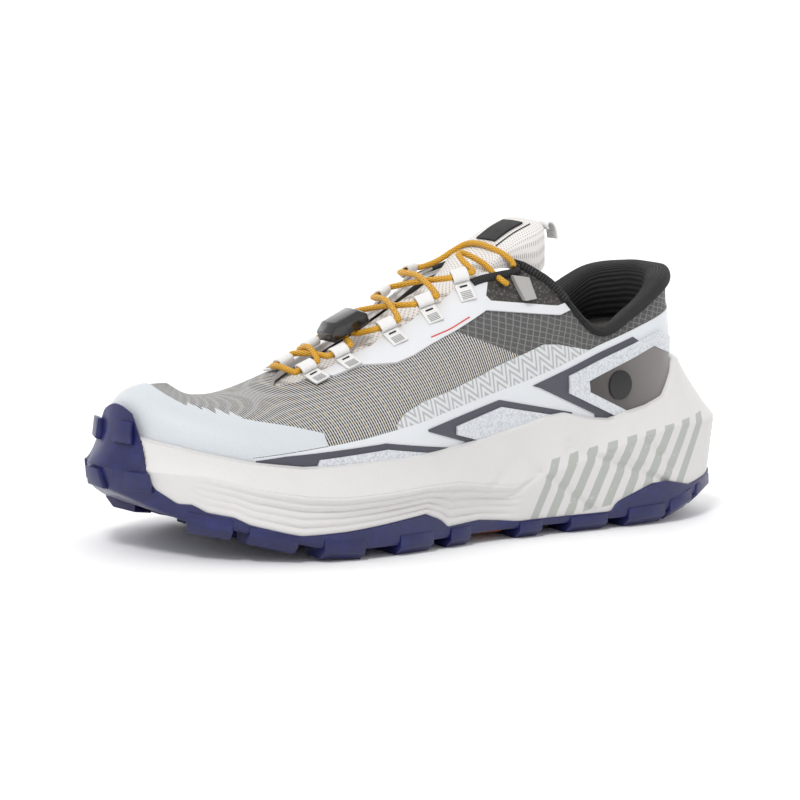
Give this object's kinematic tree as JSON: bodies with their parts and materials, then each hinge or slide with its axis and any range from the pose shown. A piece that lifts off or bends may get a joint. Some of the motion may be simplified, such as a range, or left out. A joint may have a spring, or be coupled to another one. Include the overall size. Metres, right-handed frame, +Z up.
{
  "type": "trail running shoe",
  "caption": "Low trail running shoe for the left foot: lugged outsole, ribbed midsole, mesh upper with film overlays, padded collar and tongue, round lace with cord lock.",
  "frame": {"origin": "middle of the bounding box, on the floor", "axes": "+X to the heel, -Y to the lateral (outer) side, +Z up; the toe points to -X"},
  "size_m": [0.3098, 0.1138, 0.1332],
  "materials": {
    "ripstop_grey": "woven grid",
    "plate_brown": "gloss",
    "plate_grey": "satin",
    "film_dark": "satin",
    "film_white": "satin",
    "film_grey": "matte, fine weave",
    "knit_black": "knitted",
    "lock_black": "polished",
    "disc_black": "matte",
    "insole_grey": "cloth",
    "lace_gold": "braided",
    "clip_grey": "satin",
    "foam_white": "matte, stippled",
    "rubber_blue": "satin, fine scuffs",
    "pod_silver": "bumpy satin",
    "tongue_white": "perforated mesh",
    "mesh_grey": "woven"
  },
  "bodies": {
    "root": {"ankle_panel_lateral": "ripstop_grey", "ankle_panel_medial": "ripstop_grey", "arch_plate": "plate_brown", "badge_lateral": "plate_grey", "badge_medial": "plate_grey", "band_fore_lateral": "film_dark", "band_fore_medial": "film_dark", "band_mid_lateral": "film_dark", "band_mid_medial": "film_dark", "band_rear_lateral": "film_dark", "band_rear_medial": "film_dark", "cage": "film_white", "chevron_lateral": "film_grey", "chevron_medial": "film_grey", "collar": "knit_black", "cord_lock": "lock_black", "disc_lateral": "disc_black", "disc_medial": "disc_black", "eyestay": "film_white", "insole": "insole_grey", "lace_at_lock_lateral_2": "lace_gold", "lace_at_lock_lateral_3": "lace_gold", "lace_at_lock_medial_2": "lace_gold", "lace_at_lock_medial_3": "lace_gold", "lace_bar": "lace_gold", "lace_crossing_1": "lace_gold", "lace_crossing_3": "lace_gold", "lace_crossing_4": "lace_gold", "lace_end_lower": "lace_gold", "lace_end_upper": "lace_gold", "lace_keeper": "clip_grey", "lace_loop_lateral_1": "film_white", "lace_loop_lateral_2": "film_white", "lace_loop_lateral_3": "film_white", "lace_loop_lateral_4": "film_white", "lace_loop_lateral_5": "film_white", "lace_loop_medial_1": "film_white", "lace_loop_medial_2": "film_white", "lace_loop_medial_3": "film_white", "lace_loop_medial_4": "film_white", "lace_loop_medial_5": "film_white", "midsole": "foam_white", "outsole": "rubber_blue", "pod_fore_lateral": "pod_silver", "pod_fore_medial": "pod_silver", "pod_mid_lateral": "pod_silver", "pod_mid_medial": "pod_silver", "pod_rear_lateral": "pod_silver", "pod_rear_medial": "pod_silver", "toe_cap": "film_grey", "tongue": "tongue_white", "tongue_label": "knit_black", "tongue_pull": "tongue_white", "upper": "mesh_grey"}
  },
  "joints": []
}
